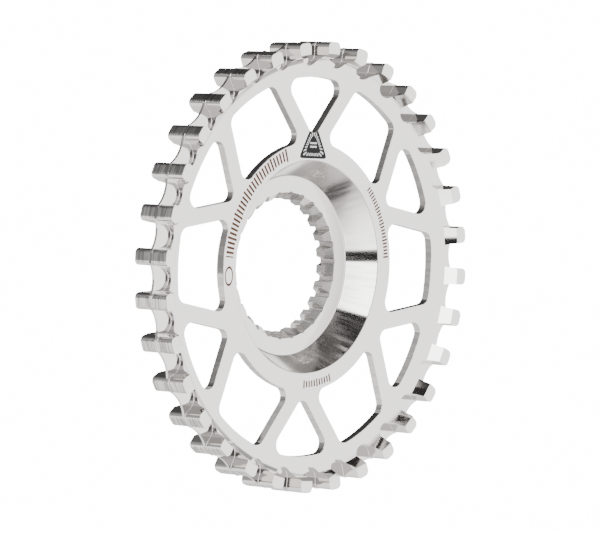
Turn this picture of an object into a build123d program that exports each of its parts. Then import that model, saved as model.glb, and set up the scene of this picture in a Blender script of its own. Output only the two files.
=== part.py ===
from build123d import *
from math import cos, pi, radians, sin, tan
import os

# A belt sprocket turned and milled from one steel blank. The axis is Z and the
# open side of the recess faces up. The origin is the centre of the back face of
# the hub, on which the part rests. X runs through the middle of a wide window.

# Belt teeth and the U-shaped gaps between them
tooth_count = 32
belt_pitch = 11.0
pitch_line_offset = 0.62
tooth_depth = 6.0
gap_round = 3.2
gap_flare = 1.3
gap_flats = 7
tip_break = 0.8
tooth_length = 10.2
tooth_turn = 9.375

# Thin flange in the middle of each gap, scalloped along its edge
flange_drop = 1.15
flange_thickness = 0.7
scallop_radius = 9.5

# Turned step from the plate up to the ends of the teeth
step_start_drop = 7.9
step_middle_drop = 6.1
step_middle_rise = 0.25
step_foot_drop = 4.5
step_foot_rise = 0.95
step_top_drop = 3.5

# Plate with its rim, its ring and its paired spokes
plate_thickness = 2.1
rim_inner_radius = 46.6
ring_outer_radius = 30.7
spoke_pairs = 6
spoke_width = 4.05
spoke_angle = 39.2
spoke_meeting_radius = 28.5
spoke_pair_turn = 30.0
outer_corner_round = 2.6
apex_round = 2.2
inner_corner_round = 2.4

# Hub with its conical recess and the skirt round it
recess_radius = 26.2
recess_floor_radius = 22.2
recess_depth = 7.5
recess_foot_break = 0.35
hub_length = 4.8
skirt_top_radius = 28.4
skirt_low_radius = 24.6
skirt_height = 5.8
hub_bevel_radius = 20.4
hub_bevel_height = 0.7
hub_back_radius = 19.8

# Splined bore
spline_count = 26
spline_root_radius = 18.3
spline_tip_radius = 16.5
groove_mouth = 2.25
groove_floor = 1.3
spline_turn = 3.8
bore_lead_in = 1.5
bore_back_break = 0.3

# Levels along the axis, counted from the back face of the hub
recess_floor_z = hub_length
plate_front_z = recess_floor_z + recess_depth
plate_back_z = plate_front_z - plate_thickness
middle_z = (plate_front_z + plate_back_z) / 2
skirt_low_z = plate_back_z - skirt_height

# Radii that follow from the belt
pitch_radius = tooth_count * belt_pitch / (2 * pi)
tip_radius = pitch_radius - pitch_line_offset
root_radius = tip_radius - tooth_depth
flange_radius = tip_radius - flange_drop
half_pitch_turn = 180 / tooth_count
clear = 1.0


def turned_blank():
    """The lathe section turned round the axis: hub, recess, plate, step and tooth ends."""
    half_plate = plate_thickness / 2
    half_tooth = tooth_length / 2
    step = [
        (tip_radius - step_start_drop, half_plate),
        (tip_radius - step_middle_drop, half_plate + step_middle_rise),
        (tip_radius - step_foot_drop, half_plate + step_foot_rise),
        (tip_radius - step_top_drop, half_tooth),
        (tip_radius, half_tooth),
    ]
    front = [(radius, middle_z + height) for radius, height in step]
    back = [(radius, middle_z - height) for radius, height in reversed(step)]
    hub = [
        (skirt_top_radius, plate_back_z),
        (skirt_low_radius, skirt_low_z),
        (hub_bevel_radius, hub_bevel_height),
        (hub_back_radius, 0),
        (spline_tip_radius + bore_back_break, 0),
        (spline_tip_radius, bore_back_break),
        (spline_tip_radius, recess_floor_z - bore_lead_in),
        (spline_tip_radius + bore_lead_in, recess_floor_z),
    ]
    foot = (recess_floor_radius, recess_floor_z)
    mouth = (recess_radius, plate_front_z)
    with BuildSketch(Plane.XZ) as section:
        Polygon(*front, *back, *hub, foot, mouth, align=None)
        corners = section.vertices()
        chamfer(corners.sort_by_distance((foot[0], 0, foot[1]))[0], recess_foot_break)
    return revolve(section.sketch, Axis.Z, 360)


def gap_shape():
    """One gap seen along the axis and lying along X: a bottom rounded in flats, and its flanks."""
    centre = root_radius + gap_round
    turn = (180 - 2 * gap_flare) / gap_flats
    corner = gap_round / cos(radians(turn / 2))
    turns = [radians(90 + gap_flare + (index + 0.5) * turn) for index in range(gap_flats)]
    bottom = [(centre + corner * cos(angle), corner * sin(angle)) for angle in turns]
    mouth_x = tip_radius + clear
    mouth_y = bottom[0][1] + (mouth_x - bottom[0][0]) * tan(radians(gap_flare))
    return Polygon(*bottom, (mouth_x, -mouth_y), (mouth_x, mouth_y), align=None)


def toothed_shape():
    """The outline of all the teeth, with their corners broken at the tips."""
    gap = gap_shape()
    with BuildSketch() as outline:
        Circle(tip_radius)
        with PolarLocations(0, tooth_count, start_angle=tooth_turn + half_pitch_turn):
            add(gap, mode=Mode.SUBTRACT)
        at_tip = [v for v in outline.vertices() if Vector(v).length > tip_radius - 0.01]
        chamfer(at_tip, tip_break)
    return outline.sketch


def scalloped_shape():
    """The outline of the flange, hollowed a little between each tooth and the next."""
    with BuildSketch() as outline:
        Circle(tip_radius)
        with PolarLocations(flange_radius + scallop_radius, tooth_count, start_angle=tooth_turn + half_pitch_turn):
            Circle(scallop_radius, mode=Mode.SUBTRACT)
    return outline.sketch


def crown():
    """What the tooth cutters leave of the blank: the teeth, the flange and all inside them."""
    teeth = extrude(toothed_shape(), middle_z + tooth_length)
    flange = extrude(scalloped_shape(), flange_thickness)
    return teeth + Pos(0, 0, middle_z - flange_thickness / 2) * flange


def spoke_edge_meeting(side):
    """The radius at which the outer or inner edges of a pair of spokes would meet."""
    return spoke_meeting_radius + side * spoke_width / 2 / sin(radians(spoke_angle))


def narrow_window():
    """The window inside one pair of spokes, lying along X and widest at the rim."""
    apex = spoke_edge_meeting(1)
    reach = 2 * rim_inner_radius
    spread = reach * tan(radians(spoke_angle))
    with BuildSketch() as window:
        Polygon((apex, 0), (apex + reach, -spread), (apex + reach, spread), align=None)
        Circle(rim_inner_radius, mode=Mode.INTERSECT)
        fillet(window.vertices().sort_by(Axis.X)[0], apex_round)
        outer = [v for v in window.vertices() if abs(Vector(v).length - rim_inner_radius) < 0.01]
        fillet(outer, outer_corner_round)
    return window.sketch


def pair_of_spokes(side):
    """All that one pair of spokes keeps from a wide window beside it, seen along the axis."""
    apex = spoke_edge_meeting(-1)
    reach = 2 * rim_inner_radius
    spread = reach * tan(radians(spoke_angle))
    with BuildSketch() as pair:
        Polygon(
            (-reach, 0),
            (apex, 0),
            (apex + reach, -side * spread),
            (apex + reach, side * reach),
            (-reach, side * reach),
            align=None,
        )
    return Rot(0, 0, side * 180 / spoke_pairs) * pair.sketch


def wide_window():
    """The window between two pairs of spokes, lying along X and widest at the ring."""
    with BuildSketch() as window:
        Circle(rim_inner_radius)
        Circle(ring_outer_radius, mode=Mode.SUBTRACT)
        add(pair_of_spokes(1), mode=Mode.SUBTRACT)
        add(pair_of_spokes(-1), mode=Mode.SUBTRACT)
        inner = [v for v in window.vertices() if abs(Vector(v).length - ring_outer_radius) < 0.01]
        fillet(inner, inner_corner_round)
        outer = [v for v in window.vertices() if abs(Vector(v).length - rim_inner_radius) < 0.01]
        fillet(outer, outer_corner_round)
    return window.sketch


def window_cutters():
    """A cutter for each window, long enough to pass right through the plate."""
    height = plate_thickness + 2 * clear
    narrow = Pos(0, 0, plate_back_z - clear) * extrude(narrow_window(), height)
    wide = Pos(0, 0, plate_back_z - clear) * extrude(wide_window(), height)
    turns = [spoke_pair_turn + index * 360 / spoke_pairs for index in range(spoke_pairs)]
    across = [turn + 180 / spoke_pairs for turn in turns]
    return [Rot(0, 0, turn) * narrow for turn in turns] + [Rot(0, 0, turn) * wide for turn in across]


def spline_cutters():
    """A cutter for each groove of the spline, with flanks that lean in towards its floor."""
    slope = (groove_mouth - groove_floor) / 2 / (spline_root_radius - spline_tip_radius)
    inner = spline_tip_radius - clear
    mouth = groove_mouth / 2 + slope * clear
    floor = groove_floor / 2
    corners = [(inner, -mouth), (spline_root_radius, -floor), (spline_root_radius, floor), (inner, mouth)]
    groove = extrude(Polygon(*corners, align=None), hub_length + 2 * clear)
    groove = Pos(0, 0, -clear) * groove
    return [Rot(0, 0, spline_turn + index * 360 / spline_count) * groove for index in range(spline_count)]


def sprocket():
    """The finished sprocket in one piece."""
    body = turned_blank() & crown()
    body -= window_cutters()
    body -= spline_cutters()
    return body


os.makedirs("parts", exist_ok=True)
result = sprocket()
export_step(result, "parts/sprocket.step")
print("sprocket volume", round(result.volume, 1), "solids", len(result.solids()))
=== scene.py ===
from math import atan2, cos, hypot, pi, radians, sin, sqrt, tan

import bmesh
import bpy
from mathutils import Matrix


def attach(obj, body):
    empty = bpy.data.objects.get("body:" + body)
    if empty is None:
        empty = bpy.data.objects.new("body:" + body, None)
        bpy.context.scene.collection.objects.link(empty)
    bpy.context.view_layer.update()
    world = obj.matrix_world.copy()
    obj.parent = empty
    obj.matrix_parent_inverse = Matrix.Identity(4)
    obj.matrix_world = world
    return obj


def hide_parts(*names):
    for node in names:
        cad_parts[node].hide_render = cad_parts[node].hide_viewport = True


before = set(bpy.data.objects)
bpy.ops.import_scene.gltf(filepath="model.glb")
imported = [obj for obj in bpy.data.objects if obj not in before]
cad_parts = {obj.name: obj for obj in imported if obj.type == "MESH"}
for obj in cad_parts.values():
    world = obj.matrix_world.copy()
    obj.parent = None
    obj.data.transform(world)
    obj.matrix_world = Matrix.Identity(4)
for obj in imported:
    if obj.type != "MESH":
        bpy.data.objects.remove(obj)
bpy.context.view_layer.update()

bl_info = {
    "name": "Belt Sprocket",
    "version": (1, 0, 0),
    "blender": (4, 5, 0),
    "location": "3D Viewport > Sidebar > Sprocket",
    "description": "Models and finishes a steel belt sprocket and its studio",
    "category": "Object",
}

MM = 0.001

# How near is the same place, and how far two points may be apart to be merged
NEAR = 0.001 * MM
NEAR_TURN = 1e-5
MERGE = 0.002 * MM

# Rim: where it joins the plate, and its section as drops from the tips and rises from the plate
RIM_STEPS = 12
RIM_JOIN = 47.1 * MM
SWEEP_DROP = 7.9 * MM
SWEEP_STEPS = 7
TOOTH_FOOT_DROP = 4.45 * MM
TOOTH_FOOT_RISE = 0.9 * MM
TOOTH_END_DROP = 3.15 * MM
TOOTH_BREAK_DROP = 2.95 * MM
TOOTH_BREAK = 0.12 * MM
CUTTER_CLEAR = 2 * MM
CUTTER_LENGTH = 12 * MM

# Hub: the recess with its cone, the bore and the back
HUB_STEPS = 16
HUB_JOIN = 28.9 * MM
RECESS_RADIUS = 26.2 * MM
RECESS_FLOOR_RADIUS = 22.2 * MM
RECESS_FLOOR = 4.8 * MM
CONE_SLOPE = atan2(4.0, 7.5)
MOUTH_ROUND = 0.45 * MM
FOOT_ROUND = 0.4 * MM
LEAD_IN_RADIUS = 18.05 * MM
LEAD_IN_FOOT = 3.25 * MM
BORE_RADIUS = 16.5 * MM
BACK_BREAK = 0.3 * MM
BACK_PROFILE = ((19.8 * MM, 0), (20.4 * MM, 0.7 * MM), (24.6 * MM, 4.4 * MM))
SKIRT_RADII = (28.1 * MM, 28.4 * MM)
SKIRT_DROPS = (0.6 * MM, 0.15 * MM)

# One groove of the spline: half widths at its mouth and floor, and the round in its corners
GROOVE_MOUTH = (15.5 * MM, 1.42 * MM)
GROOVE_FLOOR = (18.3 * MM, 0.62 * MM)
GROOVE_ROUND = 0.35 * MM
GROOVE_START = -1 * MM
GROOVE_LENGTH = 8 * MM

# Windows: rounds in their corners, and the small round along their edges as shares of its size
APEX_ROUND = 2.2 * MM
INNER_ROUND = 2.4 * MM
OUTER_ROUND = 2.6 * MM
LIP = 0.14 * MM
QUARTER_ROUND = ((1, 0), (0.62, 0.08), (0.29, 0.29), (0.08, 0.62), (0, 1))

# Edges that turn by more than this stay crisp
SHARP_TURN = radians(28)

# Where each finish lies on the piece, and where the cone and the window walls get painted shade
CONE_RADII, CONE_HEIGHTS = (22.3 * MM, 26.15 * MM), (5.1 * MM, 12.2 * MM)
WALL_RADII, WALL_HEIGHTS = (28.9 * MM, 46.95 * MM), (10.25 * MM, 12.2 * MM)
TIP_FINISH_START = 55.2 * MM
BORE_FINISH_RADIUS, BORE_FINISH_TOP = 18.35 * MM, 4.75 * MM
FRONT_FINISH_START = 12.28 * MM

# Burnt scales: first and last angle in degrees, middle radius, height and step of the strokes
SCALES = (
    (109, 176, 28.8 * MM, 3.3 * MM, 1.15 * MM),
    (5, 43, 29.0 * MM, 1.9 * MM, 0.85 * MM),
    (-90, -70, 28.9 * MM, 2.0 * MM, 0.95 * MM),
)
STROKE_SHARE = 0.52
TALL_EVERY = 5.0
RING_TURN = radians(185)
RING_PLACE = 28.8 * MM
RING_STRETCH = 0.36
RING_BAND = (1.1 * MM, 1.45 * MM)

# Printed triangle: lean of its sides, its foot, top and middle, the round of its corners
LABEL_LEAN = 0.465
LABEL_FOOT = 26.6 * MM
LABEL_TOP = 37.2 * MM
LABEL_MIDDLE = 29.6 * MM
LABEL_ROUND = 1.6 * MM
LABEL_DASHES = 26
LABEL_DASH_BAND = (-1.35 * MM, -0.65 * MM)
LABEL_BARS = (30.4 * MM, 29.5 * MM)
LABEL_BAR_HALF = (1.2 * MM, 0.22 * MM)
LABEL_EDGE = -0.02 * MM

# What the steel mirrors. Sides are angles in degrees from the west, and heights are the upward
# part of a direction of length 1. A screen is its sides, heights, softness at its sides in
# degrees, and brightness.
SCREENS = (
    ((-128, -52), (0.3, 0.84), 30, 0.55),
    ((-58, 25), (0.3, 0.84), 30, 0.7),
    ((20, 118), (0.3, 0.84), 30, 1.15),
    ((-85, -14), (0.71, 0.9), 12, 1.3),
    ((18, 60), (0.3, 0.55), 12, 1.6),
    ((-172, -128), (0.18, 0.42), 20, 0.55),
    ((122, 165), (0.18, 0.42), 20, 0.85),
)
DARK_MIDDLE = (-0.7464, 0.0256, 0.665)
BAND_ACROSS, BAND_SPAN, BAND_SIDES = (0.078, 0.33, 0.941), (0.52, 0.65), (-90, 58)
PANEL_SIDES, PANEL_HEIGHTS = (-47, 100), (-0.3, 0.31)
ROOM_SIDES, ROOM_HEIGHTS = (-130, -47), (-0.3, 0.34)
SLIT_SIDES, SLIT_HEIGHTS = (6.3, 18.6), (-0.3, 0.42)
TABLE_HEIGHTS = (-0.42, -0.34)

# Floor, and the grey card under the part, in metres
FLOOR_HALF = (2.0, 2.0)
CARD_MIDDLE = (0.0, 0.0055, -0.015)
CARD_HALF = (0.03, 0.0195)


class SprocketSizes(bpy.types.PropertyGroup):
    """Sizes of the teeth, the plate and the hub."""

    teeth: bpy.props.IntProperty(
        name="Teeth", description="Belt teeth round the rim", default=32, min=12, max=60)
    tip_radius: bpy.props.FloatProperty(
        name="Tip radius", description="From the axis to the tips of the teeth",
        default=55.4 * MM, unit="LENGTH")
    tooth_depth: bpy.props.FloatProperty(
        name="Tooth depth", description="From the tips to the bottoms of the gaps",
        default=6.0 * MM, unit="LENGTH")
    tooth_length: bpy.props.FloatProperty(
        name="Tooth length", description="Along the axis", default=10.2 * MM, unit="LENGTH")
    tooth_turn: bpy.props.FloatProperty(
        name="Tooth turn", description="Angle of the first tooth", default=radians(9.375), unit="ROTATION")
    gap_round: bpy.props.FloatProperty(
        name="Gap round", description="Radius of the bottom of a gap", default=3.2 * MM, unit="LENGTH")
    gap_flare: bpy.props.FloatProperty(
        name="Gap flare", description="Lean of each flank of a gap", default=radians(1.3), unit="ROTATION")
    tip_round: bpy.props.FloatProperty(
        name="Tip round", description="Radius of the corners of a tooth", default=1.3 * MM, unit="LENGTH")
    gap_fillet: bpy.props.FloatProperty(
        name="Gap fillet", description="Round between the flange and the teeth",
        default=0.12 * MM, unit="LENGTH")
    flange_radius: bpy.props.FloatProperty(
        name="Flange radius", description="Least radius of the flange", default=54.25 * MM, unit="LENGTH")
    flange_thickness: bpy.props.FloatProperty(
        name="Flange thickness", description="Along the axis", default=0.7 * MM, unit="LENGTH")
    scallop_radius: bpy.props.FloatProperty(
        name="Scallop radius", description="Radius of the hollows in the flange",
        default=8.0 * MM, unit="LENGTH")
    plate_front: bpy.props.FloatProperty(
        name="Plate front", description="Height of the front of the plate", default=12.3 * MM, unit="LENGTH")
    plate_thickness: bpy.props.FloatProperty(
        name="Plate thickness", description="Along the axis", default=2.1 * MM, unit="LENGTH")
    rim_radius: bpy.props.FloatProperty(
        name="Rim radius", description="Outer radius of the windows", default=46.6 * MM, unit="LENGTH")
    ring_radius: bpy.props.FloatProperty(
        name="Ring radius", description="Inner radius of the wide windows", default=30.7 * MM, unit="LENGTH")
    spoke_pairs: bpy.props.IntProperty(
        name="Spoke pairs", description="Pairs of spokes", default=6, min=3, max=12)
    spoke_width: bpy.props.FloatProperty(
        name="Spoke width", description="Across one spoke", default=4.05 * MM, unit="LENGTH")
    spoke_angle: bpy.props.FloatProperty(
        name="Spoke angle", description="Lean of a spoke in its pair", default=radians(39.2), unit="ROTATION")
    spoke_meeting: bpy.props.FloatProperty(
        name="Spoke meeting", description="Radius at which a pair meets", default=28.5 * MM, unit="LENGTH")
    spoke_turn: bpy.props.FloatProperty(
        name="Spoke turn", description="Angle of the first pair", default=radians(30.0), unit="ROTATION")
    spline_teeth: bpy.props.IntProperty(
        name="Spline teeth", description="Grooves in the bore", default=26, min=8, max=40)
    spline_turn: bpy.props.FloatProperty(
        name="Spline turn", description="Angle of the first groove", default=radians(3.8), unit="ROTATION")


class SteelLook(bpy.types.PropertyGroup):
    """Colours and gloss of the steel and its printed marks."""

    steel: bpy.props.FloatVectorProperty(
        name="Steel", description="Colour of the bare steel", subtype="COLOR", size=4,
        default=(0.78, 0.755, 0.735, 1))
    gloss: bpy.props.FloatProperty(
        name="Roughness", description="Roughness of the turned faces", default=0.045, min=0, max=1,
        subtype="FACTOR")
    scorch: bpy.props.FloatVectorProperty(
        name="Scorch", description="Colour of the burnt scale marks", subtype="COLOR", size=4,
        default=(0.075, 0.036, 0.02, 1))
    label: bpy.props.FloatVectorProperty(
        name="Label", description="Colour of the printed mark", subtype="COLOR", size=4,
        default=(0.01, 0.01, 0.011, 1))
    print_light: bpy.props.FloatVectorProperty(
        name="Light print", description="Colour of the dashes on the mark", subtype="COLOR", size=4,
        default=(0.75, 0.75, 0.75, 1))


class StudioSettings(bpy.types.PropertyGroup):
    """Place of the camera, and the light."""

    camera_place: bpy.props.FloatVectorProperty(
        name="Camera place", description="Where the camera stands", unit="LENGTH", size=3,
        default=(-0.92658, 0.03161, 0.83507))
    camera_turn: bpy.props.FloatVectorProperty(
        name="Camera turn", description="How the camera is turned", subtype="EULER", unit="ROTATION",
        size=3, default=(radians(-4.1775), radians(-48.1822), radians(3.6336)))
    focal_length: bpy.props.FloatProperty(
        name="Focal length", description="In millimetres on a 36 mm sensor", default=302.885)
    softlight: bpy.props.FloatProperty(
        name="Soft light", description="Brightness of the screen that the front faces see",
        default=2.75, min=0)
    floor_glow: bpy.props.FloatProperty(
        name="Floor glow", description="Brightness of the lit floor", default=16.0, min=0)
    card_glow: bpy.props.FloatProperty(
        name="Card glow", description="Brightness of the card that the lower walls see",
        default=0.8, min=0)


# Mesh helpers

def arc(bm, centre, radius, start, end, steps, height=0.0):
    """Turns one vertex about a centre in the plane, and gives the vertices in order."""
    first = bm.verts.new((centre[0] + radius * cos(start), centre[1] + radius * sin(start), height))
    known = len(bm.verts)
    bmesh.ops.spin(
        bm, geom=[first], cent=(centre[0], centre[1], height), axis=(0, 0, 1),
        angle=end - start, steps=steps, use_merge=False, use_duplicate=False)
    bm.verts.ensure_lookup_table()
    return [first] + list(bm.verts)[known:]


def closed_outline(bm, arcs, height=0.0):
    """Joins a round of arcs with straight edges, and gives all the edges of the outline.

    Each arc is its centre, radius, first and last angle, and number of steps.
    """
    runs = [arc(bm, *one, height=height) for one in arcs]
    verts = [vert for run in runs for vert in run]
    pairs = list(zip(verts, verts[1:] + verts[:1]))
    for pair in pairs:
        if bm.edges.get(pair) is None:
            bm.edges.new(pair)
    return [bm.edges.get(pair) for pair in pairs]


def pull(bm, faces, height):
    """Pulls flat faces along the axis into a closed solid."""
    raised = bmesh.ops.extrude_face_region(bm, geom=faces, use_keep_orig=True)["geom"]
    lifted = [item for item in raised if isinstance(item, bmesh.types.BMVert)]
    bmesh.ops.translate(bm, verts=lifted, vec=(0, 0, height))
    bmesh.ops.recalc_face_normals(bm, faces=bm.faces)


def prism(bm, edges, height):
    """Fills an outline and pulls it along the axis, and gives the edges of its foot."""
    face = bmesh.ops.contextual_create(bm, geom=edges)["faces"][0]
    foot = list(face.edges)
    pull(bm, [face], height)
    return foot


def round_off(bm, geom, size, kind):
    """Rounds edges or corners with four segments."""
    bmesh.ops.bevel(
        bm, geom=geom, offset=size, offset_type="OFFSET", segments=4, profile=0.5,
        affect=kind, clamp_overlap=False, material=-1)


def turn_about_axis(bm, turn):
    """Turns all that is there about the axis of the sprocket."""
    bmesh.ops.rotate(bm, cent=(0, 0, 0), matrix=Matrix.Rotation(turn, 3, "Z"), verts=bm.verts)


def repeat_round(bm, copies):
    """Fills the circle with turned copies of what is there, and joins them where they meet."""
    geom = bm.verts[:] + bm.edges[:] + bm.faces[:]
    bmesh.ops.spin(
        bm, geom=geom, cent=(0, 0, 0), axis=(0, 0, 1), angle=2 * pi * (copies - 1) / copies,
        steps=copies - 1, use_duplicate=True)
    bmesh.ops.remove_doubles(bm, verts=bm.verts, dist=MERGE)


def made_object(name, bm):
    """Makes an object in the scene from a bmesh, and frees it."""
    mesh = bpy.data.meshes.new(name)
    bm.to_mesh(mesh)
    bm.free()
    piece = bpy.data.objects.new(name, mesh)
    bpy.context.scene.collection.objects.link(piece)
    return piece


def carve(blank, cutters):
    """Cuts each cutter out of the blank and gives what is left as a new bmesh."""
    body = made_object("blank", blank)
    tools = [made_object("cutter", cutter) for cutter in cutters]
    for tool in tools:
        cut = body.modifiers.new("cut", "BOOLEAN")
        cut.operation = "DIFFERENCE"
        cut.solver = "EXACT"
        cut.object = tool
    bpy.context.view_layer.update()
    seen = body.evaluated_get(bpy.context.evaluated_depsgraph_get())
    mesh = bpy.data.meshes.new_from_object(seen)
    left = bmesh.new()
    left.from_mesh(mesh)
    bpy.data.meshes.remove(mesh)
    for used in [body] + tools:
        data = used.data
        bpy.data.objects.remove(used)
        bpy.data.meshes.remove(data)
    return left


def sector_blank(points, turn, steps):
    """Turns a lathe section of radius and height pairs through one sector, and closes its ends."""
    bm = bmesh.new()
    verts = [bm.verts.new((radius, 0, height)) for radius, height in points]
    for pair in zip(verts, verts[1:] + verts[:1]):
        bm.edges.new(pair)
    turn_about_axis(bm, -turn / 2)
    start = bm.edges[:]
    result = bmesh.ops.spin(
        bm, geom=bm.verts[:] + bm.edges[:], cent=(0, 0, 0), axis=(0, 0, 1), angle=turn, steps=steps,
        use_merge=False, use_duplicate=False)
    end = [item for item in result["geom_last"] if isinstance(item, bmesh.types.BMEdge)]
    bmesh.ops.contextual_create(bm, geom=start)
    bmesh.ops.contextual_create(bm, geom=end)
    bmesh.ops.recalc_face_normals(bm, faces=bm.faces)
    return bm


def open_sector(bm, turn, outer=None, inner=None):
    """Takes off the two ends of a sector, and the wall at a radius where its neighbour goes on."""
    spare = []
    for face in bm.faces:
        turns = [atan2(vert.co.y, vert.co.x) for vert in face.verts]
        radii = [hypot(vert.co.x, vert.co.y) for vert in face.verts]
        at_end = (all(abs(abs(one) - turn / 2) < NEAR_TURN for one in turns)
                  and (max(turns) - min(turns)) < turn / 2)
        at_outer = outer is not None and min(radii) > outer - NEAR
        at_inner = inner is not None and max(radii) < inner + NEAR
        if at_end or at_outer or at_inner:
            spare.append(face)
    bmesh.ops.delete(bm, geom=spare, context="FACES")


def curve_points(start, centre, turn, steps):
    """Points along an arc in the lathe section, without its first."""
    across = (start[0] - centre[0], start[1] - centre[1])
    points = []
    for step in range(1, steps + 1):
        part = turn * step / steps
        points.append((
            centre[0] + across[0] * cos(part) - across[1] * sin(part),
            centre[1] + across[0] * sin(part) + across[1] * cos(part)))
    return points


def middle_height(sizes):
    """Height of the middle of the plate, which the teeth and the flange share."""
    return sizes.plate_front - sizes.plate_thickness / 2


# Rim with its teeth

def rim_section(sizes):
    """Half of the rim's section runs from the plate to the tip of a tooth, and the rest mirrors it."""
    half_plate = sizes.plate_thickness / 2
    half_tooth = sizes.tooth_length / 2
    tip = sizes.tip_radius
    sweep_start = (tip - SWEEP_DROP, half_plate)
    foot = (tip - TOOTH_FOOT_DROP, half_plate + TOOTH_FOOT_RISE)
    run, rise = foot[0] - sweep_start[0], foot[1] - sweep_start[1]
    sweep_radius = (run * run + rise * rise) / (2 * rise)
    centre = (sweep_start[0], half_plate + sweep_radius)
    half = [(RIM_JOIN, half_plate), sweep_start]
    half += curve_points(sweep_start, centre, 2 * atan2(rise, run), SWEEP_STEPS)
    half += [(tip - TOOTH_END_DROP, half_tooth - TOOTH_BREAK)]
    half += [(tip - TOOTH_BREAK_DROP, half_tooth), (tip, half_tooth)]
    middle = middle_height(sizes)
    points = [(radius, middle + height) for radius, height in half]
    return points + [(radius, middle - height) for radius, height in reversed(half)]


def gap_cutter(sizes, side):
    """The tool for one side of a gap: a round bottom, leaning flanks, and rounds for the tips."""
    lean = sizes.gap_flare
    centre = sizes.tip_radius - sizes.tooth_depth + sizes.gap_round
    flank = sizes.gap_round - centre * sin(lean) + sizes.tip_round
    reach = sqrt((sizes.tip_radius - sizes.tip_round) ** 2 - flank ** 2)
    corner = (-sin(lean) * flank + cos(lean) * reach, cos(lean) * flank + sin(lean) * reach)
    turn = atan2(corner[1], corner[0])
    bm = bmesh.new()
    edges = closed_outline(bm, [
        ((centre, 0), sizes.gap_round, pi / 2 + lean, 3 * pi / 2 - lean, 30),
        ((corner[0], -corner[1]), sizes.tip_round, pi / 2 - lean, -turn, 8),
        ((0, 0), sizes.tip_radius + CUTTER_CLEAR, -turn, turn, 2),
        (corner, sizes.tip_round, turn, -pi / 2 + lean, 8),
    ])
    foot = prism(bm, edges, CUTTER_LENGTH)
    round_off(bm, foot, sizes.gap_fillet, "EDGES")
    bmesh.ops.translate(bm, verts=bm.verts, vec=(0, 0, sizes.flange_thickness / 2))
    if side < 0:
        bmesh.ops.scale(bm, verts=bm.verts, vec=(1, 1, -1))
    bmesh.ops.translate(bm, verts=bm.verts, vec=(0, 0, middle_height(sizes)))
    bmesh.ops.recalc_face_normals(bm, faces=bm.faces)
    return bm


def scallop_cutter(sizes):
    """The tool for the hollow in the flange, which passes clear of the teeth."""
    bm = bmesh.new()
    place = (sizes.flange_radius + sizes.scallop_radius, 0, middle_height(sizes))
    bmesh.ops.create_cone(
        bm, cap_ends=True, segments=128, radius1=sizes.scallop_radius, radius2=sizes.scallop_radius,
        depth=CUTTER_CLEAR, matrix=Matrix.Translation(place))
    return bm


def rim(sizes):
    """One pitch of the rim is turned and cut, and repeated round the axis."""
    pitch = 2 * pi / sizes.teeth
    blank = sector_blank(rim_section(sizes), pitch, RIM_STEPS)
    bm = carve(blank, [gap_cutter(sizes, 1), gap_cutter(sizes, -1), scallop_cutter(sizes)])
    open_sector(bm, pitch, inner=RIM_JOIN)
    turn_about_axis(bm, sizes.tooth_turn + pitch / 2)
    repeat_round(bm, sizes.teeth)
    return bm


# Hub with its recess and splined bore

def hub_section(sizes):
    """The lathe section of the hub, from the front of the plate round recess and bore to its back."""
    front = sizes.plate_front
    back = front - sizes.plate_thickness
    bend = pi / 2 - CONE_SLOPE
    half_bend = tan(bend / 2)
    mouth = (RECESS_RADIUS + MOUTH_ROUND * half_bend, front)
    foot = (RECESS_FLOOR_RADIUS - FOOT_ROUND * half_bend, RECESS_FLOOR)
    points = [(HUB_JOIN, front), mouth]
    points += curve_points(mouth, (mouth[0], front - MOUTH_ROUND), bend, 5)
    rise = curve_points(foot, (foot[0], foot[1] + FOOT_ROUND), bend, 5)
    points += list(reversed(rise)) + [foot]
    points += [(LEAD_IN_RADIUS, RECESS_FLOOR), (BORE_RADIUS, LEAD_IN_FOOT), (BORE_RADIUS, BACK_BREAK)]
    points += [(BORE_RADIUS + BACK_BREAK, 0)] + list(BACK_PROFILE)
    points += [(radius, back - drop) for radius, drop in zip(SKIRT_RADII, SKIRT_DROPS)]
    return points + [(HUB_JOIN, back)]


def groove_cutter():
    """The tool for one groove of the spline, with rounded corners at its floor."""
    bm = bmesh.new()
    (mouth, mouth_half), (floor, floor_half) = GROOVE_MOUTH, GROOVE_FLOOR
    verts = [bm.verts.new((x, y, GROOVE_START)) for x, y in (
        (mouth, -mouth_half), (floor, -floor_half), (floor, floor_half), (mouth, mouth_half))]
    bm.faces.new(verts)
    round_off(bm, verts[1:3], GROOVE_ROUND, "VERTICES")
    pull(bm, bm.faces[:], GROOVE_LENGTH)
    return bm


def hub(sizes):
    """One pitch of the spline is turned with the hub round it, cut, and repeated."""
    pitch = 2 * pi / sizes.spline_teeth
    blank = sector_blank(hub_section(sizes), pitch, HUB_STEPS)
    bm = carve(blank, [groove_cutter()])
    open_sector(bm, pitch, outer=HUB_JOIN)
    turn_about_axis(bm, sizes.spline_turn)
    repeat_round(bm, sizes.spline_teeth)
    return bm


# Plate with its windows

def on_circle(normal_turn, distance, radius):
    """Where a line, given by its normal and distance, meets a circle on its outward side."""
    along = sqrt(radius * radius - distance * distance)
    return (cos(normal_turn) * distance + sin(normal_turn) * along,
            sin(normal_turn) * distance - cos(normal_turn) * along)


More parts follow.
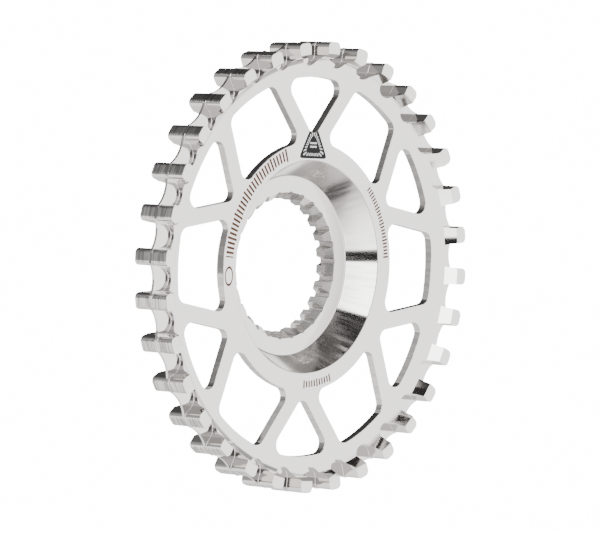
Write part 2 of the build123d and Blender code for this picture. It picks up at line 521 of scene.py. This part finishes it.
def narrow_window(sizes, lip):
    """Arcs round the window inside a pair of spokes, widened all round by the lip."""
    lean = sizes.spoke_angle
    apex = sizes.spoke_meeting + sizes.spoke_width / 2 / sin(lean) - lip / sin(lean)
    near, far = APEX_ROUND + lip, OUTER_ROUND + lip
    edge_turn = pi / 2 + lean
    edge = apex * cos(edge_turn)
    place = on_circle(edge_turn, edge - far, sizes.rim_radius + lip - far)
    turn = atan2(place[1], place[0])
    return [
        ((apex + near / sin(lean), 0), near, edge_turn, 2 * pi - edge_turn, 16),
        ((place[0], -place[1]), far, -edge_turn, -turn, 12),
        ((0, 0), sizes.rim_radius + lip, -turn, turn, 20),
        (place, far, turn, edge_turn, 12),
    ]


def wide_window(sizes, lip):
    """Arcs round the window between two pairs of spokes, widened all round by the lip."""
    lean, half_step = sizes.spoke_angle, pi / sizes.spoke_pairs
    meeting = sizes.spoke_meeting - sizes.spoke_width / 2 / sin(lean) + lip / sin(lean)
    edge_turn = pi / 2 - (lean - half_step)
    edge = meeting * cos(edge_turn - half_step)
    near, far = INNER_ROUND + lip, OUTER_ROUND + lip
    inner = on_circle(edge_turn, edge - near, sizes.ring_radius - lip + near)
    outer = on_circle(edge_turn, edge - far, sizes.rim_radius + lip - far)
    inner_turn, outer_turn = atan2(inner[1], inner[0]), atan2(outer[1], outer[0])
    return [
        ((0, 0), sizes.rim_radius + lip, -outer_turn, outer_turn, 28),
        (outer, far, outer_turn, edge_turn, 12),
        (inner, near, edge_turn, pi + inner_turn, 12),
        ((0, 0), sizes.ring_radius - lip, inner_turn, -inner_turn, 24),
        ((inner[0], -inner[1]), near, pi - inner_turn, 2 * pi - edge_turn, 12),
        ((outer[0], -outer[1]), far, -edge_turn, -outer_turn, 12),
    ]


def window_wall(sizes, outline, turn):
    """The wall of one kind of window, rounded along its edges and open to the front and back."""
    bm = bmesh.new()
    front = sizes.plate_front
    back = front - sizes.plate_thickness
    levels = [(wide * LIP, drop * LIP) for wide, drop in QUARTER_ROUND]
    loops = [closed_outline(bm, outline(sizes, wide), front - drop) for wide, drop in levels]
    loops += [closed_outline(bm, outline(sizes, wide), back + drop) for wide, drop in reversed(levels)]
    for upper, lower in zip(loops, loops[1:]):
        bmesh.ops.bridge_loops(bm, edges=upper + lower)
    turn_about_axis(bm, turn)
    repeat_round(bm, sizes.spoke_pairs)
    return bm


def joined(parts):
    """Brings several bmeshes together in one."""
    whole = bmesh.new()
    for part in parts:
        mesh = bpy.data.meshes.new("part")
        part.to_mesh(mesh)
        part.free()
        whole.from_mesh(mesh)
        bpy.data.meshes.remove(mesh)
    return whole


def close_faces(bm, height):
    """Fills the flat face of the plate between the rim, the hub and the windows."""
    edges = [edge for edge in bm.edges if edge.is_boundary
             and all(abs(vert.co.z - height) < NEAR for vert in edge.verts)]
    bmesh.ops.triangle_fill(bm, edges=edges, use_beauty=True, use_dissolve=False)


def sprocket_mesh(sizes):
    """Rim, hub and window walls, closed by the two faces of the plate, with its crisp edges set."""
    narrow = window_wall(sizes, narrow_window, sizes.spoke_turn)
    wide = window_wall(sizes, wide_window, sizes.spoke_turn + pi / sizes.spoke_pairs)
    bm = joined([rim(sizes), hub(sizes), narrow, wide])
    close_faces(bm, sizes.plate_front)
    close_faces(bm, sizes.plate_front - sizes.plate_thickness)
    bmesh.ops.recalc_face_normals(bm, faces=bm.faces)
    if not all(edge.is_manifold for edge in bm.edges):
        raise RuntimeError("these sizes leave the sprocket open")
    for face in bm.faces:
        face.smooth = True
    bm.normal_update()
    for edge in bm.edges:
        if edge.calc_face_angle() > SHARP_TURN:
            edge.smooth = False
    return bm


# Materials

class Value:
    """Wraps a shader socket so that sums on it are written as plain arithmetic."""

    def __init__(self, tree, socket):
        self.tree, self.socket = tree, socket

    def math(self, operation, *others):
        return self.tree.node("ShaderNodeMath", {"operation": operation}, self, *others)

    def flipped(self, operation, other):
        return self.tree.node("ShaderNodeMath", {"operation": operation}, other, self)

    def __add__(self, other): return self.math("ADD", other)
    def __sub__(self, other): return self.math("SUBTRACT", other)
    def __mul__(self, other): return self.math("MULTIPLY", other)
    def __truediv__(self, other): return self.math("DIVIDE", other)
    def __lt__(self, other): return self.math("LESS_THAN", other)
    def __gt__(self, other): return self.math("GREATER_THAN", other)
    def __neg__(self): return self.math("MULTIPLY", -1.0)
    def __abs__(self): return self.math("ABSOLUTE")
    def __radd__(self, other): return self.flipped("ADD", other)
    def __rsub__(self, other): return self.flipped("SUBTRACT", other)
    def __rmul__(self, other): return self.flipped("MULTIPLY", other)
    def __rtruediv__(self, other): return self.flipped("DIVIDE", other)


class Shader:
    """A node tree that is filled by one method."""

    def __init__(self, owner):
        owner.use_nodes = True
        self.tree = owner.node_tree
        self.tree.nodes.clear()

    def node(self, kind, settings, *values, out=0, **named):
        """Adds a node: its settings first, then the values or links of its sockets.

        A socket whose value is None stays as it is.
        """
        made = self.tree.nodes.new(kind)
        for name, setting in settings.items():
            setattr(made, name, setting)
        by_name = [(name.replace("_", " "), value) for name, value in named.items()]
        for place, value in list(enumerate(values)) + by_name:
            if isinstance(value, Value):
                self.tree.links.new(value.socket, made.inputs[place])
            elif value is not None:
                made.inputs[place].default_value = value
        return Value(self, made.outputs[out]) if made.outputs else None

    def split(self, vector):
        """The three parts of a vector."""
        first = self.node("ShaderNodeSeparateXYZ", {}, vector)
        return [Value(self, output) for output in first.socket.node.outputs]

    def place(self):
        """The place on the piece, or in a world the direction of the ray."""
        return self.node("ShaderNodeTexCoord", {}, out=3)

    def rise(self, value, low, high):
        """Rises smoothly from 0 to 1 between two values."""
        smooth = {"interpolation_type": "SMOOTHSTEP"}
        return self.node("ShaderNodeMapRange", smooth, value, low, high, 0.0, 1.0)

    def within(self, value, low, high, soft):
        """Is 1 between two values and fades out over a soft edge."""
        middle, half = (low + high) / 2, (high - low) / 2
        return 1.0 - self.rise(abs(value - middle), half - soft / 2, half + soft / 2)

    def facing(self, west, sides, soft):
        """Is 1 between two angles from the west, given in degrees."""
        return self.within(west, radians(sides[0]), radians(sides[1]), radians(soft))

    def mix(self, share, first, second):
        """Mixes two colours."""
        unused = [None] * 5
        return self.node("ShaderNodeMix", {"data_type": "RGBA"}, share, *unused, first, second, out=2)

    def noise(self, place, scale, detail=2.0):
        return self.node("ShaderNodeTexNoise", {}, Vector=place, Scale=scale, Detail=detail)

    def grain(self, along_x, along_y, along_z, detail):
        """Noise that is stretched by three values of its own."""
        vector = self.node("ShaderNodeCombineXYZ", {}, along_x, along_y, along_z)
        return self.noise(vector, 1.0, detail)


def graduation(shader, turn, radius, start, end, middle, height, step):
    """A band of short strokes, every fifth one tall, between two angles in degrees."""
    along = (turn - radians(start)) * (middle / step)
    stroke = along.math("FRACT") < STROKE_SHARE
    tall = (along / TALL_EVERY).math("FRACT") < 1 / TALL_EVERY
    reach = height * (0.4 + 0.1 * tall)
    band = shader.within(turn, radians(start), radians(end), 0.002)
    return stroke * band * (abs(radius - middle) < reach)


def burnt_marks(shader, x, y, radius, turn):
    """The burnt scales and the plain ring beside them."""
    scales = [graduation(shader, turn, radius, *scale) for scale in SCALES]
    ring_x, ring_y = x - RING_PLACE * cos(RING_TURN), y - RING_PLACE * sin(RING_TURN)
    ring = (ring_x * ring_x + ring_y * ring_y * RING_STRETCH).math("SQRT")
    marks = scales[0].math("MAXIMUM", scales[1]).math("MAXIMUM", scales[2])
    return marks.math("MAXIMUM", shader.within(ring, *RING_BAND, 0.05 * MM))


def printed_label(shader, x, y):
    """Dark rounded triangle that points outwards, with light dashes round it and two light bars."""
    side = (x * x + MM * MM).math("SQRT") * cos(LABEL_LEAN) + (y - LABEL_TOP) * sin(LABEL_LEAN)
    away = side.math("SMOOTH_MAX", LABEL_FOOT - y, LABEL_ROUND)
    around = (y - LABEL_MIDDLE).math("ARCTAN2", x) * (LABEL_DASHES / (2 * pi))
    dashes = shader.within(away, *LABEL_DASH_BAND, 0.06 * MM) * (around.math("FRACT") < 0.5)
    upper, lower = [abs(y - bar) < LABEL_BAR_HALF[1] for bar in LABEL_BARS]
    bars = (abs(x) < LABEL_BAR_HALF[0]) * (upper + lower)
    return away < LABEL_EDGE, dashes.math("MAXIMUM", bars)


def milled_steel(look):
    """Bright steel: turned faces with fine rings, milled walls, burnt scales and a printed mark, with painted
    shade on the cone and the window walls.
    """
    material = bpy.data.materials.new("milled_steel")
    shader = Shader(material)
    place = shader.place()
    x, y, z = shader.split(place)
    radius = (x * x + y * y).math("SQRT")
    turn = y.math("ARCTAN2", x)

    # The cone and the window walls are where the painted shade goes; the tips and the bore get only grain
    cone = shader.within(radius, *CONE_RADII, 0.1 * MM) * shader.within(z, *CONE_HEIGHTS, 0.1 * MM)
    walls = shader.within(radius, *WALL_RADII, 0.05 * MM) * shader.within(z, *WALL_HEIGHTS, 0.05 * MM)
    tips = radius > TIP_FINISH_START
    bore = (radius < BORE_FINISH_RADIUS) * (z < BORE_FINISH_TOP)
    front = z > FRONT_FINISH_START

    # Lathe rings, smears round the cone, broaching marks in the bore and cutter marks in the windows
    rings = shader.grain(radius * 1700.0, z * 1700.0, turn * 6.0, 4.0)
    smears = shader.grain(turn * 22.0, (radius + z) * 60.0, 0.0, 3.0)
    broach = shader.grain(x * 6000.0, y * 6000.0, z * 200.0, 2.0)
    milled = shader.grain(x * 900.0, y * 900.0, z * 60.0, 3.0)
    cloud = shader.noise(place, 60.0)
    grit = shader.noise(place, 900.0, 3.0)

    # How far each finish darkens the steel, and how rough it is. The cone and the window walls get painted
    # shade. The tips, the bore and the walls get machining grain
    # Painted shade: the cone gets darker towards its foot, deep in the recess
    grain_and_painted_shade = cone * 0.4 * (1.0 - shader.rise(z, 5.0 * MM, 10.5 * MM))
    grain_and_painted_shade = grain_and_painted_shade + tips * shader.rise(rings, 0.4, 0.62) * 0.9
    grain_and_painted_shade = grain_and_painted_shade + bore * shader.rise(broach, 0.42, 0.6) * 0.65
    # Painted shade: the window walls are darkened evenly, and the milled grain darkens them further
    grain_and_painted_shade = grain_and_painted_shade + walls * (0.3 + 0.3 * shader.rise(milled, 0.4, 0.6))
    # Darkened steel, which both the painted shade and the machining grain move towards
    shade_and_grain_colour = tuple(0.45 * part for part in look.steel[:3]) + (1,)
    grained_and_shaded_steel = shader.mix(grain_and_painted_shade, tuple(look.steel), shade_and_grain_colour)
    rough = look.gloss + 0.02 * cloud + (0.03 + 0.07 * shader.rise(smears, 0.35, 0.7)) * cone
    rough = rough + 0.04 * tips + 0.1 * bore

    # Marks on the front, which aren't bare metal
    burnt = front * burnt_marks(shader, x, y, radius, turn)
    label, light = printed_label(shader, x, y)
    label = label * front
    finished = shader.mix(burnt, grained_and_shaded_steel, tuple(look.scorch))
    finished = shader.mix(label, finished, shader.mix(light, tuple(look.label), tuple(look.print_light)))
    metal = (1.0 - label) * (1.0 - 0.5 * burnt)
    height = rings * tips + 0.004 * grit + 0.4 * broach * bore
    bump = shader.node("ShaderNodeBump", {}, Strength=1.0, Distance=0.02 * MM, Height=height)
    finish = shader.node(
        "ShaderNodeBsdfPrincipled", {}, Base_Color=finished, Metallic=metal,
        Roughness=rough + 0.25 * label + 0.2 * burnt, Specular_IOR_Level=0.1, Anisotropic=0.8,
        Anisotropic_Rotation=0.25, Normal=bump)
    shader.node("ShaderNodeOutputMaterial", {}, finish)
    return material


def glowing(name, brightness):
    """A plain white material that gives off light."""
    material = bpy.data.materials.new(name)
    shader = Shader(material)
    glow = shader.node("ShaderNodeEmission", {}, (1, 1, 1, 1), brightness)
    shader.node("ShaderNodeOutputMaterial", {}, glow)
    return material


# Studio

def stage_sheet(name, middle, half, material):
    """A flat sheet of the stage, which isn't part of the object."""
    bm = bmesh.new()
    place = Matrix.Translation(middle) @ Matrix.Diagonal((half[0], half[1], 1.0, 1.0))
    bmesh.ops.create_grid(bm, x_segments=1, y_segments=1, size=1.0, matrix=place)
    sheet = made_object(name, bm)
    sheet.data.materials.append(material)
    return sheet


def toward(light, share, shade):
    """Moves the light towards a shade by a share."""
    return light + share * (shade - light)


def pointing(direction, x, y, z):
    """How far a ray points along a direction."""
    return direction[0] * x + direction[1] * y + direction[2] * z


def studio_sky(sky, softlight):
    """Brightness of the studio in each direction."""
    x, y, z = sky.split(sky.place())
    west = (-y).math("ARCTAN2", -x)

    # Soft screens above the part
    light = softlight
    for sides, heights, soft, shade in SCREENS:
        light = toward(light, sky.facing(west, sides, soft) * sky.within(z, *heights, 0.06), shade)

    # The dark round of the camera, and a dark band beside it
    ahead = pointing(DARK_MIDDLE, x, y, z)
    light = toward(light, sky.rise(ahead, 0.945, 0.985), 0.38)
    light = toward(light, sky.rise(ahead, 0.98, 1.0), 0.2)
    band = sky.within(pointing(BAND_ACROSS, x, y, z), *BAND_SPAN, 0.06)
    light = toward(light, band * sky.facing(west, BAND_SIDES, 10), 0.13)

    # Bright panels along the horizon, the dark room beside them, and a dark slit between the panels
    panel = 4.6 - 3.1 * sky.rise(west, radians(15), radians(90)) + 2.8 * (west < radians(10))
    light = toward(light, sky.within(z, *PANEL_HEIGHTS, 0.04) * sky.facing(west, PANEL_SIDES, 1.5), panel)
    light = toward(light, sky.within(z, *ROOM_HEIGHTS, 0.03) * sky.facing(west, ROOM_SIDES, 1.5), 0.035)
    leaning = west - 0.25 * (z - 0.22)
    light = toward(light, sky.facing(leaning, SLIT_SIDES, 1.5) * sky.within(z, *SLIT_HEIGHTS, 0.04), 0.03)

    # The table top, which the walls that face down see
    low = 0.08 + 0.46 * sky.rise(west, radians(-100), radians(0))
    low = low + 1.3 * sky.rise(west, radians(8), radians(11))
    low = low - 0.4 * sky.rise(west, radians(50), radians(100))
    return toward(light, 1.0 - sky.rise(z, *TABLE_HEIGHTS), low)


def studio_camera(settings):
    """The camera, at the angle of the photograph."""
    lens = bpy.data.cameras.new("camera")
    lens.sensor_width = 36.0
    lens.lens = settings.focal_length
    camera = bpy.data.objects.new("camera", lens)
    camera.location = settings.camera_place
    camera.rotation_euler = settings.camera_turn
    bpy.context.scene.collection.objects.link(camera)
    return camera


# Operators

class OBJECT_OT_model_sprocket(bpy.types.Operator):
    """Models the toothed, windowed sprocket and gives it its steel"""

    bl_idname = "sprocket.model"
    bl_label = "Model Sprocket"

    def execute(self, context):
        piece = made_object("milled_sprocket", sprocket_mesh(context.scene.sprocket_sizes))
        piece.data.materials.append(milled_steel(context.scene.sprocket_look))
        shading = piece.modifiers.new("even_shading", "WEIGHTED_NORMAL")
        shading.weight = 50
        shading.keep_sharp = True
        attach(piece, "root")
        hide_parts("sprocket")
        return {"FINISHED"}


class SCENE_OT_set_studio(bpy.types.Operator):
    """Sets the floor, the soft white light and the camera"""

    bl_idname = "sprocket.studio"
    bl_label = "Set Studio"

    def execute(self, context):
        settings = context.scene.sprocket_studio
        white = glowing("studio_white", settings.floor_glow)
        floor = stage_sheet("studio_floor", (0, 0, 0), FLOOR_HALF, white)
        floor.visible_glossy = False
        grey = glowing("card_grey", settings.card_glow)
        card = stage_sheet("reflector_card", CARD_MIDDLE, CARD_HALF, grey)
        card.visible_camera = False

        world = bpy.data.worlds.new("studio_light")
        context.scene.world = world
        sky = Shader(world)
        back = sky.node("ShaderNodeBackground", {}, (1, 1, 1, 1), studio_sky(sky, settings.softlight))
        sky.node("ShaderNodeOutputWorld", {}, back)
        context.scene.camera = studio_camera(settings)
        return {"FINISHED"}


class VIEW3D_PT_sprocket(bpy.types.Panel):
    """Lists the sizes, the look and the steps"""

    bl_label = "Belt Sprocket"
    bl_idname = "VIEW3D_PT_sprocket"
    bl_space_type = "VIEW_3D"
    bl_region_type = "UI"
    bl_category = "Sprocket"

    def draw(self, context):
        layout = self.layout
        scene = context.scene
        for settings in (scene.sprocket_sizes, scene.sprocket_look, scene.sprocket_studio):
            box = layout.box()
            for name in settings.__annotations__:
                box.prop(settings, name)
        layout.operator("sprocket.model")
        layout.operator("sprocket.studio")


CLASSES = (
    SprocketSizes, SteelLook, StudioSettings, OBJECT_OT_model_sprocket, SCENE_OT_set_studio,
    VIEW3D_PT_sprocket)


def register():
    for one in CLASSES:
        bpy.utils.register_class(one)
    bpy.types.Scene.sprocket_sizes = bpy.props.PointerProperty(type=SprocketSizes)
    bpy.types.Scene.sprocket_look = bpy.props.PointerProperty(type=SteelLook)
    bpy.types.Scene.sprocket_studio = bpy.props.PointerProperty(type=StudioSettings)


def unregister():
    del bpy.types.Scene.sprocket_studio
    del bpy.types.Scene.sprocket_look
    del bpy.types.Scene.sprocket_sizes
    for one in reversed(CLASSES):
        bpy.utils.unregister_class(one)


def main():
    register()
    bpy.ops.sprocket.model()
    bpy.ops.sprocket.studio()


if __name__ == "__main__":
    main()
